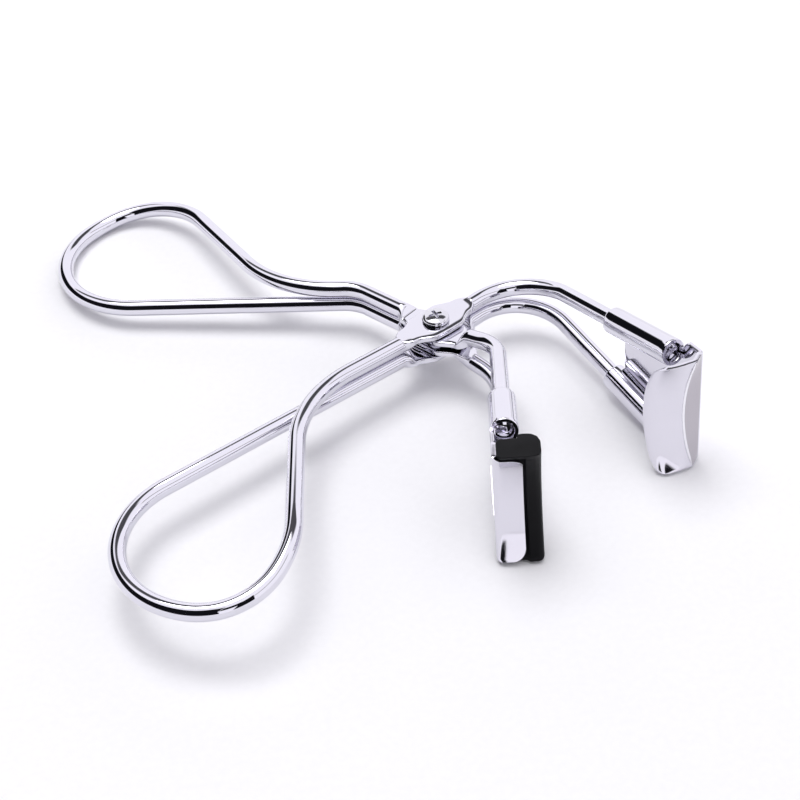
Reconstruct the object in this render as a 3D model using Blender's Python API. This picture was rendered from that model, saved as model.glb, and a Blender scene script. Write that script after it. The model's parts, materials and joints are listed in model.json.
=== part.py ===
"""Scissor-action wire eyelash curler, lying open on a table.

Two levers turn on one pivot screw. Each lever is a single length of round wire: it starts in the upper
sleeve of a jaw, runs to the pivot, is flattened there, goes round a finger loop, comes back under itself,
is flattened again and ends in the lower sleeve of the same jaw. One jaw is a channel with a silicone pad
in it, and the other is a curved counter plate.

Everything is first laid out in the pivot frame, in millimetres: +Z up along the pivot screw, z = 0 midway
between the upper and the lower strands. PLACE then tips it onto the table. Blender units are metres.
"""

import math

import bmesh
import bpy
import numpy as np
from mathutils import Matrix, Vector

# ---------------------------------------------------------------- driving dimensions, mm and degrees
WIRE_R = 1.5            # wire radius
WIRE_SIDES = 16
STRAND_Z = 1.65         # half the spacing of the stacked strands
ARC_STEP = 9.5          # degrees between stations on a bend

PLATE_HALF_W = 3.75     # flattened wire at the pivot, half width
PLATE_T = 1.15          # flattened wire at the pivot, thickness
OUTER_PLATE_Z = 2.36    # the counter lever's plates lie outside
INNER_PLATE_Z = 1.07    # the pad lever's plates lie inside
PLATE_ROUND = 2.4       # full width to here from the pivot
PLATE_NECK_W = 2.2      # half width where the flattened length ends
PLATE_FLAT = 6.3        # flattened to here
PLATE_END = 8.2         # round again from here

SCREW_R = 1.20
HOLE_R = 1.28
HEAD_R, HEAD_H = 2.45, 1.25
RECESS_W, RECESS_L, RECESS_D = 0.55, 2.7, 0.6
NUT_R, NUT_H = 2.3, 1.1
SEAT_GAP = 0.12         # gap between faces that bear on each other
SPACER_R, SPACER_T = 2.9, 0.72

# finger loop, walked from the neck along the straight strand
LOOP_STRAIGHT = 57.9    # pivot's foot to the first bend
LOOP_ARCS = ((16.34, 141.1), (11.55, 62.0), (19.29, 30.4))   # radius, angle turned
LOOP_SWEEP_R = 22.0     # reverse curve that lays the returning strand over the straight one
CROSS_FROM, CROSS_TO = 0.44, 0.79    # share of the way round where the wire climbs a level

COUNTER_HANDLE_DEG = 214.4
COUNTER_PLATE_DEG = 38.8
COUNTER_ARM_DEG = -61.7
COUNTER_ARM_OFFSET = 22.5    # pivot to the line of the sleeves
COUNTER_BEND_R = 10.3

PAD_HANDLE_DEG = 173.05
PAD_HANDLE_OFFSET = 12.05    # pivot to the line of the straight strand
PAD_PLATE_DEG = -45.0
PAD_NECK_R = 8.0
PAD_ARM_DEG = -93.4
PAD_ARM_OFFSET = -10.6
PAD_BEND_R = 8.0

# jaws, in a frame whose u runs from the pivot's foot along the arm and v towards the other jaw
SLEEVE_R, SLEEVE_BORE = 2.40, 1.55
SHEET = 0.78
SLEEVE_SLOPE = 0.186    # sleeves spread this much per mm of arm
SLEEVE_END, SLEEVE_END_Z = 38.8, 9.1
COUNTER_SLEEVE_START = 22.5
PAD_SLEEVE_START = 28.4
WIRE_RECESS = 0.7       # the wire stops this short of the sleeve's end
SPREAD_Z = 1.75         # level of the arm before it starts to spread
JAW_HALF_H = 11.4
JAW_SAG = 3.4           # depth of the curve that follows the eyelid
JAW_SIDE = -2.34        # outer face of the jaw sheet, level with the sleeves
LEVELS = 12             # steps over the jaw's height

COUNTER_BACK = 23.8     # back edge of the counter jaw's web
COUNTER_WEB_FRONT = 43.9     # the web is straight to here, where the sheet turns
COUNTER_CREASE = (45.1, 0.2, 0.47, 0.32)   # u and v of the crease at the jaw's ends, and how far the curve moves it back and in
COUNTER_EDGE = 6.45     # contact edge
COUNTER_CORNER_R = 2.6

CHANNEL_FRONT, CHANNEL_DEPTH = 47.6, 5.0
CHANNEL_FRONT_EDGE, CHANNEL_BACK_EDGE = 2.5, 1.4
CHANNEL_BEND_R = 0.9
CHANNEL_WEB_BACK = 31.0
PAD_FACE = 5.5          # contact face of the silicone
PAD_REAR = 1.7          # the pad's head overhangs the channel's back wall
PAD_OVER = 0.5          # the pad stands this far past the channel's ends
PAD_UPPER = 0.895       # the pad jaw's upper half is this much of its lower half

TIP_X, TIP_Y = -4.143, -1.782      # degrees, tips the pivot frame onto the table
SHIFT = (14.511, 5.908, 8.556)      # mm, puts the middle of the base at the origin

PLACE = (
    Matrix.Translation(Vector(SHIFT) / 1000)
    @ Matrix.Rotation(math.radians(TIP_Y), 4, "Y")
    @ Matrix.Rotation(math.radians(TIP_X), 4, "X")
    @ Matrix.Scale(0.001, 4)
)

for old in list(bpy.data.objects):
    bpy.data.objects.remove(old)


# ---------------------------------------------------------------- helpers
def unit(deg):
    return np.array([math.cos(math.radians(deg)), math.sin(math.radians(deg))])


def smoothstep(x):
    x = min(max(x, 0.0), 1.0)
    return x * x * (3 - 2 * x)


def material(name, color, metallic, roughness):
    made = bpy.data.materials.new(name)
    made.use_nodes = True
    shader = made.node_tree.nodes["Principled BSDF"]
    shader.inputs["Base Color"].default_value = (*color, 1.0)
    shader.inputs["Metallic"].default_value = metallic
    shader.inputs["Roughness"].default_value = roughness
    return made


def mesh_object(name, points, faces, hidden=False):
    """An object from pivot-frame points in mm. Its origin is on the pivot axis."""
    at = PLACE @ Vector((0, 0, 0))
    mesh = bpy.data.meshes.new(name)
    mesh.from_pydata([tuple(PLACE @ Vector(p) - at) for p in points], [], faces)
    bm = bmesh.new()
    bm.from_mesh(mesh)
    bmesh.ops.recalc_face_normals(bm, faces=bm.faces)
    bm.to_mesh(mesh)
    bm.free()
    obj = bpy.data.objects.new(name, mesh)
    obj.location = at
    bpy.context.scene.collection.objects.link(obj)
    mesh.shade_smooth()
    mesh.set_sharp_from_angle(angle=math.radians(38))
    if hidden:
        obj.hide_render = True
        obj.display_type = "WIRE"
    return obj


def boolean(obj, other, operation):
    modifier = obj.modifiers.new(operation.lower() + "_" + other.name, "BOOLEAN")
    modifier.operation = operation
    modifier.solver = "EXACT"
    modifier.object = other


def skin(rings):
    """Closed skin over equal rings of points, capped at both ends."""
    n = len(rings[0])
    points = [tuple(p) for ring in rings for p in ring]
    faces = [tuple(range(n))[::-1], tuple(range(len(points) - n, len(points)))]
    for i in range(len(rings) - 1):
        for k in range(n):
            a, b = i * n + k, i * n + (k + 1) % n
            faces.append((a, b, b + n, a + n))
    return points, faces


def cylinder(name, a, b, radius, sides):
    a, b = Vector(a), Vector(b)
    axis = (b - a).normalized()
    side = axis.cross(Vector((0, 0, 1)))
    side = side.normalized() if side.length > 1e-6 else Vector((1, 0, 0))
    up = axis.cross(side)
    turns = [2 * math.pi * (k + 0.5) / sides for k in range(sides)]
    rings = [[e + radius * (math.cos(t) * side + math.sin(t) * up) for t in turns] for e in (a, b)]
    return mesh_object(name, *skin(rings), hidden=True)


def lathe(name, profile, sides):
    """Solid of revolution about the pivot axis from (radius, z) pairs. A closed profile off the axis makes a ring."""
    ring = profile[0][0] > 0
    turns = [2 * math.pi * k / sides for k in range(sides)]
    points, faces = [], []
    rows = profile if ring else profile[1:-1]
    for r, z in rows:
        points += [(r * math.cos(t), r * math.sin(t), z) for t in turns]
    count = len(rows)
    for i in range(count if ring else count - 1):
        a, b = i * sides, ((i + 1) % count) * sides
        for k in range(sides):
            q = (k + 1) % sides
            faces.append((a + k, a + q, b + q, b + k))
    if not ring:
        faces.append(tuple(range(sides))[::-1])
        faces.append(tuple(range((count - 1) * sides, count * sides)))
    return mesh_object(name, points, faces)


# ---------------------------------------------------------------- wire paths
def meet(p, a, q, b):
    """Where the line through p along a meets the line through q along b."""
    s = np.linalg.solve(np.array([a, -b]).T, np.asarray(q, float) - np.asarray(p, float))
    return np.asarray(p, float) + s[0] * a


def fillet(before, at, after, r):
    """Points round the corner at a radius r, from tangent to tangent."""
    d1, d2 = at - before, after - at
    d1, d2 = d1 / np.linalg.norm(d1), d2 / np.linalg.norm(d2)
    turn = math.atan2(d1[0] * d2[1] - d1[1] * d2[0], d1 @ d2)
    start = at - d1 * r * math.tan(abs(turn) / 2)
    centre = start + np.array([-d1[1], d1[0]]) * math.copysign(r, turn)
    steps = max(2, math.ceil(math.degrees(abs(turn)) / ARC_STEP))
    out = []
    for k in range(steps + 1):
        c, s = math.cos(turn * k / steps), math.sin(turn * k / steps)
        x, y = start - centre
        out.append(centre + np.array([c * x - s * y, s * x + c * y]))
    return out


def loop_plan():
    """The finger loop in handle coordinates (along, across) with each point's share of the way round."""
    p, heading, walked = np.array([LOOP_STRAIGHT, 0.0]), 0.0, 0.0
    pts, marks = [p], [0.0]

    def arc(p, heading, walked, r, turn):
        steps = max(2, math.ceil(abs(turn) / ARC_STEP))
        s = math.copysign(1, turn)
        centre = p + s * r * np.array([-math.sin(heading), math.cos(heading)])
        for k in range(1, steps + 1):
            h = heading + math.radians(turn) * k / steps
            pts.append(centre - s * r * np.array([-math.sin(h), math.cos(h)]))
            marks.append(walked + r * math.radians(abs(turn)) * k / steps)
        return pts[-1], heading + math.radians(turn), marks[-1]

    for r, turn in LOOP_ARCS:
        p, heading, walked = arc(p, heading, walked, r, turn)
    # straight run back, as long as leaves the reverse curve to end on the straight strand's line
    rest = math.pi - heading
    drop = p[1] - LOOP_SWEEP_R * (1 - math.cos(rest))
    run = drop / -math.sin(heading)
    p = p + run * np.array([math.cos(heading), math.sin(heading)])
    walked += run
    pts.append(p)
    marks.append(walked)
    curved = walked
    arc(p, heading, walked, LOOP_SWEEP_R, math.degrees(rest))
    return pts, [m / curved for m in marks]


def jaw_frame(arm_deg, offset, side):
    """Foot of the perpendicular from the pivot, the arm's direction, and the direction of the other jaw."""
    d = unit(arm_deg)
    n = side * np.array([-d[1], d[0]])
    return -offset * n, d, n


def sleeve_z(u):
    return SLEEVE_END_Z + SLEEVE_SLOPE * (u - SLEEVE_END)


def lever_stations(handle_deg, handle_offset, handle_side, plate_deg, neck_r, jaw, bend_r, plate_z):
    """Stations down one lever's wire as (x, y, z, distance from the pivot)."""
    foot, arm, _ = jaw
    plate = unit(plate_deg)
    handle = unit(handle_deg)
    across = handle_side * np.array([-handle[1], handle[0]])
    base = handle_offset * across
    zero = np.zeros(2)

    end = foot + (SLEEVE_END - WIRE_RECESS) * arm
    elbow = meet(zero, plate, end, arm)
    arm_pts = [end] + fillet(end, elbow, zero, bend_r)
    runs = np.cumsum([0.0] + [float(np.linalg.norm(b - a)) for a, b in zip(arm_pts, arm_pts[1:] + [zero])])
    arm_p = [float(runs[-1] - r) for r in runs[:-1]]       # distance to the pivot along the wire
    rise = sleeve_z(SLEEVE_END - WIRE_RECESS)

    def arm_z(p):
        line = rise - SLEEVE_SLOPE * (arm_p[0] - p)
        start = arm_p[0] - (rise - SPREAD_Z) / SLEEVE_SLOPE     # where the spread line leaves SPREAD_Z
        w = min(8.0, start)
        if p >= start + w:
            return line
        if p <= start - w:
            return SPREAD_Z
        return SPREAD_Z + SLEEVE_SLOPE * (p - start + w) ** 2 / (4 * w)

    pts, marks = loop_plan()
    world = [base + a * handle + b * across for a, b in pts]
    if handle_offset:
        neck = meet(zero, plate, base, handle)
        neck_pts = fillet(zero, neck, world[0], neck_r)
    else:
        neck_pts = [PLATE_END * 1.2 * handle]

    plan, zs, dist = [], [], []

    def add(p, z, d):
        if plan and np.linalg.norm(p - plan[-1]) < 0.02:
            return
        plan.append(p)
        zs.append(z)
        dist.append(d)

    for p, d in zip(arm_pts, arm_p):
        add(p, arm_z(d), d)
    add(zero, None, 0.0)
    walked = 0.0
    last = zero
    for p in neck_pts:
        walked += float(np.linalg.norm(p - last))
        last = p
        add(p, STRAND_Z, -walked)
    for p, m in zip(world[::-1], marks[::-1]):
        climb = smoothstep((m - CROSS_FROM) / (CROSS_TO - CROSS_FROM))
        add(p, STRAND_Z * (2 * climb - 1), -99.0)
    lower = []
    walked, last = 0.0, zero
    for p in neck_pts:
        walked += float(np.linalg.norm(p - last))
        last = p
        lower.append((p, -STRAND_Z, -walked))
    for p, z, d in lower[::-1]:
        add(p, z, d)
    add(zero, None, 0.0)
    for p, d in list(zip(arm_pts, arm_p))[::-1]:
        add(p, -arm_z(d), d)

    # fill in the stations between the corners
    out = []
    half = len(plan)
    for i in range(len(plan) - 1):
        p, q = plan[i], plan[i + 1]
        e, f = dist[i], dist[i + 1]
        if e < -50 and f > -50:
            e = f - float(np.linalg.norm(q - p))
        if f < -50 and e > -50:
            f = e - float(np.linalg.norm(q - p))
        length = float(np.linalg.norm(q - p))
        near = min(abs(e), abs(f))
        cuts = {0.0}
        if near < PLATE_END:
            marks_at = [0.0, 1.4, PLATE_ROUND, 4.3, PLATE_FLAT, 6.3, 7.0, 7.7, PLATE_END]
            for m in marks_at:
                for s in (m, -m):
                    if min(e, f) + 0.15 < s < max(e, f) - 0.15:
                        cuts.add((s - e) / (f - e))
        on_arm = e >= 0 and f >= 0
        if on_arm and length > 3.0:
            n = math.ceil(length / 4.0) if max(e, f) < arm_p[1] + 0.01 else math.ceil(length / 12.0)
            cuts |= {k / n for k in range(n)}
        for t in sorted(cuts):
            if t > 0 and any(abs(t - o) * length < 0.3 for o in cuts if o < t):
                continue
            out.append((p + (q - p) * t, e + (f - e) * t, i, t))
    out.append((plan[-1], dist[-1], len(plan) - 1, 0.0))

    first_pivot = min(k for k, (p, *_r) in enumerate(out) if np.linalg.norm(p) < 1e-6)
    last_pivot = max(k for k, (p, *_r) in enumerate(out) if np.linalg.norm(p) < 1e-6)
    stations = []
    for k, (p, d, i, t) in enumerate(out):
        upper = k <= first_pivot
        lowest = k >= last_pivot
        if d >= 0 and (upper or lowest) and d > 0:
            z = arm_z(d) * (1 if upper else -1)
        elif d == 0:
            z = STRAND_Z * (1 if upper else -1)
        else:
            a = zs[i] if zs[i] is not None else math.copysign(STRAND_Z, zs[i + 1])
            b = zs[min(i + 1, len(zs) - 1)]
            b = b if b is not None else math.copysign(STRAND_Z, a)
            z = a + (b - a) * t
        w = 1 - smoothstep((abs(d) - PLATE_FLAT) / (PLATE_END - PLATE_FLAT)) if abs(d) < PLATE_END else 0.0
        z += (math.copysign(plate_z, z) - z) * w
        stations.append((float(p[0]), float(p[1]), float(z), abs(d)))
    return stations


def section(d):
    """Half width, half height and squareness of the wire at a distance from the pivot."""
    if d >= PLATE_END:
        return WIRE_R, WIRE_R, 2.0
    flat = 1 - smoothstep((d - PLATE_FLAT) / (PLATE_END - PLATE_FLAT))
    if d <= PLATE_FLAT:
        wide = PLATE_HALF_W + (PLATE_NECK_W - PLATE_HALF_W) * smoothstep(
            (d - PLATE_ROUND) / (PLATE_FLAT - PLATE_ROUND)
        )
    else:
        wide = WIRE_R + (PLATE_NECK_W - WIRE_R) * flat
    return wide, WIRE_R + (PLATE_T / 2 - WIRE_R) * flat, 2.0 + 4.0 * flat


def wire(name, stations):
    pts = [Vector(s[:3]) for s in stations]
    rings = []
    for i, p in enumerate(pts):
        before, after = pts[max(i - 1, 0)], pts[min(i + 1, len(pts) - 1)]
        tangent = ((p - before).normalized() + (after - p).normalized()).normalized()
        side = Vector((0, 0, 1)).cross(tangent).normalized()
        up = tangent.cross(side)
        a, b, n = section(stations[i][3])
        ring = []
        for k in range(WIRE_SIDES):
            t = 2 * math.pi * (k + 0.5) / WIRE_SIDES
            c, s = math.cos(t), math.sin(t)
            x = math.copysign(abs(c) ** (2 / n), c) * a
            y = math.copysign(abs(s) ** (2 / n), s) * b
            ring.append(p + x * side + y * up)
        rings.append(ring)
    return mesh_object(name, *skin(rings))


# ---------------------------------------------------------------- jaws
SAG_R = (JAW_HALF_H**2 + JAW_SAG**2) / (2 * JAW_SAG)


def sag(z):
    """How far the curve of the eyelid brings the jaw back towards the pivot at height z."""
    z = min(abs(z), JAW_HALF_H)
    return math.sqrt(SAG_R**2 - z * z) - (SAG_R - JAW_SAG)


def at(jaw, u, v, z):
    foot, d, n = jaw
    p = foot + u * d + v * n
    return (float(p[0]), float(p[1]), z)


def bend(centre, a0, a1, r, steps):
    """Plan points round a sheet bend, leaving out the first."""
    turns = [math.radians(a0 + (a1 - a0) * k / steps) for k in range(1, steps + 1)]
    return [(centre[0] + r * math.cos(a), centre[1] + r * math.sin(a)) for a in turns]


def shell(name, jaw, outline, tops, thickness, upper=1.0, hidden=False):
    """A bent sheet from its outer face in plan.

    Each point of the outline is (u, v, back, inwards): the last two say how much of the eyelid curve moves it
    back towards the pivot and in towards the other jaw. tops is the half height at each point.
    """
    n = len(outline)
    outer, inner = [], []
    for k in range(LEVELS + 1):
        share = -1 + 2 * k / LEVELS
        share = math.sin(share * math.pi / 2) * 0.35 + share * 0.65
        heights = [t * share * (upper if share > 0 else 1.0) for t in tops]
        row = [np.array([u - back * sag(z), v + inwards * sag(z)]) for (u, v, back, inwards), z in zip(outline, heights)]
        for i in range(n):
            t = row[min(i + 1, n - 1)] - row[max(i - 1, 0)]
            t /= np.linalg.norm(t)
            outer.append(at(jaw, *row[i], heights[i]))
            inner.append(at(jaw, *(row[i] + thickness * np.array([-t[1], t[0]])), heights[i]))
    points = outer + inner
    grid = lambda s, k, i: s * (LEVELS + 1) * n + k * n + i
    faces = []
    for k in range(LEVELS):
        for i in range(n - 1):
            faces.append((grid(0, k, i), grid(0, k, i + 1), grid(0, k + 1, i + 1), grid(0, k + 1, i)))
            faces.append((grid(1, k, i), grid(1, k + 1, i), grid(1, k + 1, i + 1), grid(1, k, i + 1)))
        for i in (0, n - 1):
            faces.append((grid(0, k, i), grid(0, k + 1, i), grid(1, k + 1, i), grid(1, k, i)))
    for i in range(n - 1):
        for k in (0, LEVELS):
            faces.append((grid(0, k, i), grid(1, k, i), grid(1, k, i + 1), grid(0, k, i + 1)))
    return mesh_object(name, points, faces, hidden=hidden)


def rounded_top(distance, radius):
    """How far a corner of that radius lowers the edge at that distance from the sheet's end."""
    if distance >= radius:
        return 0.0
    return radius - math.sqrt(radius**2 - (radius - distance) ** 2)


def add_sleeves(body, jaw, start, label):
    """Rolls the sheet round the two wire ends: tubes at both edges, then their bores."""
    for word, s in (("upper", 1), ("lower", -1)):
        a = at(jaw, start, 0, s * sleeve_z(start))
        b = at(jaw, SLEEVE_END, 0, s * sleeve_z(SLEEVE_END))
        tube = cylinder(f"{label}_{word}_tube", a, b, SLEEVE_R, 24)
        boolean(body, tube, "UNION")
    for word, s in (("upper", 1), ("lower", -1)):
        a = at(jaw, start - 4, 0, s * sleeve_z(start - 4))
        b = at(jaw, SLEEVE_END + 1.2, 0, s * sleeve_z(SLEEVE_END + 1.2))
        bore = cylinder(f"{label}_{word}_bore", a, b, SLEEVE_BORE, 24)
        boolean(body, bore, "DIFFERENCE")


COUNTER = jaw_frame(COUNTER_ARM_DEG, COUNTER_ARM_OFFSET, -1)
PAD = jaw_frame(PAD_ARM_DEG, PAD_ARM_OFFSET, 1)


def web_top(u):
    """Half height of the flat web: the sleeves' line, then the full height past their ends."""
    if u <= SLEEVE_END:
        return sleeve_z(u)
    return sleeve_z(SLEEVE_END) + (JAW_HALF_H - 0.25 - sleeve_z(SLEEVE_END)) * smoothstep((u - SLEEVE_END) / 1.6)


def counter_jaw():
    """A flat web between the sleeves, a scooped cheek, a crease, and the curved front plate with its rolled contact edge."""
    side, front = JAW_SIDE, COUNTER_WEB_FRONT
    web = [(u, side, 0.0, 0.0) for u in (COUNTER_BACK, 29.0, 34.0, SLEEVE_END - 1.0, SLEEVE_END + 0.4, SLEEVE_END + 1.0, SLEEVE_END + 2.0)]
    web += [(front - 0.95, side, 0.0, 0.0), (front - 0.45, side + 0.09, 0.0, 0.0), (front - 0.12, side + 0.34, 0.0, 0.0), (front + 0.04, side + 0.7, 0.0, 0.0)]
    u, v, back, inwards = COUNTER_CREASE
    cheek = [
        (front + (u - front) * s, side + 0.7 + (v - side - 0.7) * s, back * s, inwards * s)
        for s in (0.35, 0.7, 0.93)
    ]
    edge = COUNTER_EDGE
    plate = [
        (u + 0.02, v + 0.28, back + 0.03, inwards), (u - 0.12, v + 1.3, 0.55, 0.22), (u - 0.32, v + 2.6, 0.66, 0.10),
        (u - 0.60, v + 3.8, 0.76, 0.02), (u - 0.88, v + 4.7, 0.88, 0.0),
        (u - 1.20, edge - 0.85, 0.96, 0.0), (u - 1.58, edge - 0.36, 1.0, 0.0), (u - 2.05, edge - 0.07, 1.0, 0.0), (u - 2.65, edge, 1.0, 0.0),
    ]
    outline = web + cheek + plate
    reach = [0.0]
    for a, b in zip(outline[::-1], outline[::-1][1:]):
        reach.append(reach[-1] + math.hypot(b[0] - a[0], b[1] - a[1]))
    reach = reach[::-1]
    tops = []
    for i, p in enumerate(outline):
        if i < len(web) - 4:
            tops.append(web_top(p[0]))
        else:
            tops.append(JAW_HALF_H - rounded_top(reach[i] + 0.15, COUNTER_CORNER_R))
    body = shell("counter_jaw_plate", COUNTER, outline, tops, SHEET)
    add_sleeves(body, COUNTER, COUNTER_SLEEVE_START, "counter")
    return body


def pad_jaw():
    """A channel for the pad, open towards the other jaw, with a web from its base to the sleeves."""
    side, r = JAW_SIDE, CHANNEL_BEND_R + SHEET / 2
    front, back = CHANNEL_FRONT, CHANNEL_FRONT - CHANNEL_DEPTH
    plan = [(back, CHANNEL_BACK_EDGE), (back, (CHANNEL_BACK_EDGE + side + r) / 2), (back, side + r)]
    plan += bend((back + r, side + r), 180, 270, r, 3)
    plan += [((front + back) / 2, side), (front - r, side)]
    plan += bend((front - r, side + r), -90, 0, r, 3)
    span = CHANNEL_FRONT_EDGE - side - r
    plan += [(front, side + r + span * s) for s in (0.35, 0.62, 0.85, 1.0)]
    tops = []
    for u, v in plan:
        edge = CHANNEL_FRONT_EDGE - v if u > (front + back) / 2 else 9.0
        tops.append(JAW_HALF_H - rounded_top(edge + 0.1, 1.5))
    body = shell("pad_jaw_channel", PAD, [(u, v, 1.0, 0.0) for u, v in plan], tops, SHEET, upper=PAD_UPPER)
    # the web is sunk a hair inside the channel's base
    far = front - CHANNEL_DEPTH + 2.0
    web = [(u, side + 0.04, smoothstep((u - CHANNEL_WEB_BACK) / (far - CHANNEL_WEB_BACK)), 0.0)
           for u in (CHANNEL_WEB_BACK, 35.0, SLEEVE_END - 0.4, SLEEVE_END + 0.5, SLEEVE_END + 1.2, 41.0, far)]
    tops = [min(web_top(p[0]), JAW_HALF_H - 0.3) for p in web]
    plate = shell("pad_jaw_web", PAD, web, tops, SHEET - 0.08, upper=PAD_UPPER, hidden=True)
    boolean(body, plate, "UNION")
    add_sleeves(body, PAD, PAD_SLEEVE_START, "pad")
    return body


def silicone_pad():
    lo = CHANNEL_FRONT - CHANNEL_DEPTH + SHEET + 0.1
    hi = CHANNEL_FRONT - SHEET - 0.1
    floor = JAW_SIDE + SHEET + 0.12
    back, front = CHANNEL_BACK_EDGE + 0.2, CHANNEL_FRONT_EDGE + 0.2
    f = PAD_FACE
    rear = lo - PAD_REAR
    plan = [
        (lo + 0.5, floor), (hi - 0.5, floor), (hi, floor + 0.5), (hi, front), (hi + 0.5, front + 0.4),
        (hi + 0.5, f - 0.9), (hi + 0.2, f - 0.25), (hi - 0.6, f), (rear + 1.9, f), (rear + 0.75, f - 0.45),
        (rear + 0.12, f - 1.3), (rear, f - 2.0), (rear, back + 0.6), (rear + 0.3, back + 0.3), (lo, back + 0.25), (lo, floor + 0.5),
    ]
    half = JAW_HALF_H + PAD_OVER
    centre = np.array([(lo + hi) / 2, (floor + f) / 2])
    levels = [-1.0, -0.975] + [-0.93 + 1.86 * k / LEVELS for k in range(LEVELS + 1)] + [0.975, 1.0]
    rings = []
    for share in levels:
        z = half * share * (PAD_UPPER if share > 0 else 1.0)
        pinch = 0.90 if abs(share) == 1.0 else 1.0 if abs(share) < 0.97 else 0.975
        rings.append([
            at(PAD, *(centre + (np.array(p) - centre) * pinch - np.array([sag(z), 0])), z) for p in plan
        ])
    return mesh_object("silicone_pad", *skin(rings))


# ---------------------------------------------------------------- the parts
chrome = material("polished_chrome", (0.83, 0.83, 0.86), 1.0, 0.08)
steel = material("screw_steel", (0.72, 0.72, 0.74), 1.0, 0.18)
rubber = material("black_silicone", (0.02, 0.02, 0.022), 0.0, 0.55)

bore = cylinder("pivot_bore", (0, 0, -7), (0, 0, 7), HOLE_R, 24)

counter_wire = wire(
    "counter_handle_wire",
    lever_stations(COUNTER_HANDLE_DEG, 0.0, 1, COUNTER_PLATE_DEG, 0.0, COUNTER, COUNTER_BEND_R, OUTER_PLATE_Z),
)
boolean(counter_wire, bore, "DIFFERENCE")
pad_wire = wire(
    "pad_handle_wire",
    lever_stations(PAD_HANDLE_DEG, PAD_HANDLE_OFFSET, -1, PAD_PLATE_DEG, PAD_NECK_R, PAD, PAD_BEND_R, INNER_PLATE_Z),
)
boolean(pad_wire, bore, "DIFFERENCE")
counter_plate = counter_jaw()
pad_channel = pad_jaw()
pad = silicone_pad()

seat = OUTER_PLATE_Z + PLATE_T / 2 + SEAT_GAP
tail = seat + NUT_H
screw = lathe(
    "pivot_screw",
    [
        (0, -tail), (SCREW_R - 0.25, -tail), (SCREW_R, -tail + 0.25), (SCREW_R, seat), (HEAD_R - 0.1, seat), (HEAD_R, seat + 0.12),
        (HEAD_R, seat + 0.45), (HEAD_R * 0.93, seat + 0.78), (HEAD_R * 0.78, seat + 1.02), (HEAD_R * 0.52, seat + 1.19),
        (HEAD_R * 0.25, seat + HEAD_H), (0, seat + HEAD_H),
    ],
    28,
)
for k, deg in enumerate((20.0, 110.0)):
    d, w = unit(deg) * RECESS_L / 2, unit(deg + 90) * RECESS_W / 2
    low, high = seat + HEAD_H - RECESS_D, seat + HEAD_H + 1
    quad = [d + w, -d + w, -d - w, d - w]
    quad = quad if k == 0 else [q * 0.999 for q in quad]
    slot = mesh_object(
        f"recess_{k}",
        *skin([[(*map(float, q * (0.72 if z == low else 1.0)), z) for q in quad] for z in (low, high)]),
        hidden=True,
    )
    boolean(screw, slot, "DIFFERENCE")
nut = lathe(
    "pivot_nut",
    [(HOLE_R, -seat), (HOLE_R, -tail + 0.05), (NUT_R * 0.72, -tail), (NUT_R * 0.93, -tail + 0.3), (NUT_R, -tail + 0.65), (NUT_R, -seat)],
    24,
)
spacer = lathe(
    "pivot_spacer",
    [(HOLE_R, -SPACER_T / 2), (HOLE_R, SPACER_T / 2), (SPACER_R, SPACER_T / 2), (SPACER_R, -SPACER_T / 2)],
    24,
)

for obj in (counter_wire, pad_wire, counter_plate, pad_channel):
    obj.data.materials.append(chrome)
for obj in (screw, nut, spacer):
    obj.data.materials.append(steel)
pad.data.materials.append(rubber)
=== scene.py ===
"""Looks of the scissor-action eyelash curler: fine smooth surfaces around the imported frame, materials, studio and camera."""

import json
import math

import bmesh
import bpy
import numpy as np
from mathutils import Matrix, Vector


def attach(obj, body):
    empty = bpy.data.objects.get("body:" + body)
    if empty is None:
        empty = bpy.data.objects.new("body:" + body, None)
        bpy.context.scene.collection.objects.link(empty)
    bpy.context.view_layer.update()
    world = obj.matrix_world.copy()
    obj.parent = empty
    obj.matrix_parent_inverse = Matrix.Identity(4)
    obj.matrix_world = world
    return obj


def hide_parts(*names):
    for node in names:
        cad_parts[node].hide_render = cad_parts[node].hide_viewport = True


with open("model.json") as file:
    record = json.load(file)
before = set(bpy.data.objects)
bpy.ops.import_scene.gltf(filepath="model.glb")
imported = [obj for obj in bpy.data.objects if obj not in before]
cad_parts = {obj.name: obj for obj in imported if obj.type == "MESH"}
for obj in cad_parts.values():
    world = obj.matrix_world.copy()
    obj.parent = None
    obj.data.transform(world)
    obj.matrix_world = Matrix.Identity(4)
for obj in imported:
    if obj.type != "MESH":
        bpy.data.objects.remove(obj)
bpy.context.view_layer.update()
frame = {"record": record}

# ---------------------------------------------------------------- design dimensions, mm and degrees, as in the CAD
WIRE_R = 1.5
STRAND_Z = 1.65
PLATE_HALF_W, PLATE_T = 3.75, 1.15
OUTER_PLATE_Z, INNER_PLATE_Z = 2.36, 1.07
PLATE_ROUND, PLATE_NECK_W, PLATE_FLAT, PLATE_END = 2.4, 2.2, 6.3, 8.2
SCREW_R, HOLE_R, HEAD_R, HEAD_H = 1.20, 1.28, 2.45, 1.25
NUT_R, NUT_H, SEAT_GAP = 2.3, 1.1, 0.12
LOOP_STRAIGHT = 57.9
LOOP_ARCS = ((16.34, 141.1), (11.55, 62.0), (19.29, 30.4))
LOOP_SWEEP_R = 22.0
CROSS_FROM, CROSS_TO = 0.44, 0.79
COUNTER_HANDLE_DEG, COUNTER_PLATE_DEG, COUNTER_ARM_DEG, COUNTER_ARM_OFFSET, COUNTER_BEND_R = 214.4, 38.8, -61.7, 22.5, 10.3
PAD_HANDLE_DEG, PAD_HANDLE_OFFSET, PAD_PLATE_DEG, PAD_NECK_R = 173.05, 12.05, -45.0, 8.0
PAD_ARM_DEG, PAD_ARM_OFFSET, PAD_BEND_R = -93.4, -10.6, 8.0
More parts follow.
